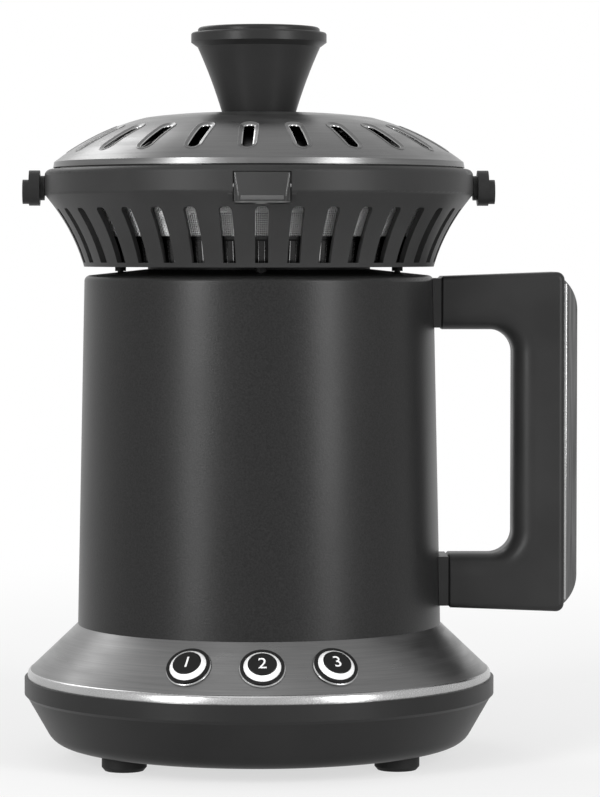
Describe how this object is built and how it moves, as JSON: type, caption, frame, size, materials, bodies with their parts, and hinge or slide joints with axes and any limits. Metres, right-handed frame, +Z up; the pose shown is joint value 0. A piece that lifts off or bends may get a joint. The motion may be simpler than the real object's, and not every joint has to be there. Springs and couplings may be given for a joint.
{
  "type": "coffee roaster",
  "caption": "Upright home coffee bean roaster with a slotted chaff collector, hinged domed lid, side handle and push buttons on a flared base.",
  "frame": {"origin": "on the body's axis, in the plane that the feet stand on", "axes": "+Z up along the body's axis, buttons face -Y, handle at +X, lid's hinge at +Y"},
  "size_m": [0.2207, 0.188, 0.2912],
  "materials": {
    "black_plastic": "satin black moulded plastic",
    "black_metal": "fine textured black powder coat",
    "brushed_steel": "brushed stainless steel",
    "bright_steel": "plain bright steel",
    "rubber": "soft black rubber",
    "pale_plastic": "pale translucent plastic",
    "board": "green circuit board",
    "mica": "pale mica sheet",
    "heater_wire": "dull resistance wire",
    "motor": "plain metal can"
  },
  "bodies": {
    "housing": {"rubber_feet": "rubber", "foot_screws": "bright_steel", "base_pan": "black_plastic", "cord_gland": "rubber", "base_ring": "brushed_steel", "button_bezels": "black_plastic", "button_light_rings": "pale_plastic", "button_nuts": "black_plastic", "button_switches": "black_plastic", "button_springs": "bright_steel", "chassis_plate": "bright_steel", "chassis_screws": "bright_steel", "motor_screws": "bright_steel", "motor_case": "motor", "fan_housing": "black_plastic", "heater_frame": "mica", "heater_coil": "heater_wire", "air_guide": "bright_steel", "heat_shield": "bright_steel", "thermostat": "motor", "thermal_fuse": "motor", "control_board": "board", "board_parts": "black_plastic", "roasting_chamber": "bright_steel", "body_shell": "black_metal", "rest_bumpers": "rubber", "top_collar": "black_plastic", "handle_grip": "black_plastic", "handle_screws": "bright_steel", "handle_trim": "brushed_steel", "handle_collars": "black_plastic"},
    "fan": {"motor_shaft": "bright_steel", "motor_rotor": "motor", "impeller": "black_plastic"},
    "button_left": {"button_cap_left": "black_plastic"},
    "button_middle": {"button_cap_middle": "black_plastic"},
    "button_right": {"button_cap_right": "black_plastic"},
    "collector": {"collector_skirt": "black_plastic", "latch_pin": "bright_steel", "latch_spring": "bright_steel", "chaff_basin": "bright_steel", "mesh_screen": "bright_steel", "chaff_flue": "bright_steel", "side_lugs": "black_plastic", "lug_caps": "black_plastic", "hinge_bracket": "black_plastic", "hinge_pin": "bright_steel", "bracket_rivets": "bright_steel"},
    "latch": {"latch_tongue": "black_plastic"},
    "lid": {"lid_dome": "brushed_steel", "lid_liner": "bright_steel", "hinge_leaf": "brushed_steel", "leaf_rivets": "bright_steel", "knob_body": "black_plastic", "knob_cap": "black_plastic", "knob_washer": "bright_steel", "knob_spacer": "bright_steel", "knob_screw": "bright_steel"}
  },
  "joints": [
    {"name": "collector_lift", "type": "slide", "parent": "housing", "child": "collector", "axis": [0, 0, 1], "range_m": [0, 0.06]},
    {"name": "lid_hinge", "type": "hinge", "parent": "collector", "child": "lid", "pos_m": [0, 0.088, 0.2366], "axis": [-1, 0, 0], "range_deg": [0, 100]},
    {"name": "latch_press", "type": "hinge", "parent": "collector", "child": "latch", "pos_m": [0, -0.082, 0.227], "axis": [1, 0, 0], "range_deg": [0, 8], "stiffness_Nm_per_rad": 0.05, "springref_deg": -5.73},
    {"name": "button_left_press", "type": "slide", "parent": "housing", "child": "button_left", "axis": [0.233, 0.6473, -0.7258], "range_m": [0, 0.0015], "stiffness_N_per_m": 600, "springref_m": -0.0006, "deforming": ["button_springs"]},
    {"name": "button_middle_press", "type": "slide", "parent": "housing", "child": "button_middle", "axis": [0, 0.688, -0.7258], "range_m": [0, 0.0015], "stiffness_N_per_m": 600, "springref_m": -0.0006, "deforming": ["button_springs"]},
    {"name": "button_right_press", "type": "slide", "parent": "housing", "child": "button_right", "axis": [-0.233, 0.6473, -0.7258], "range_m": [0, 0.0015], "stiffness_N_per_m": 600, "springref_m": -0.0006, "deforming": ["button_springs"]},
    {"name": "fan_spin", "type": "hinge", "parent": "housing", "child": "fan", "pos_m": [0, 0, 0.04], "axis": [0, 0, 1], "continuous": true}
  ]
}
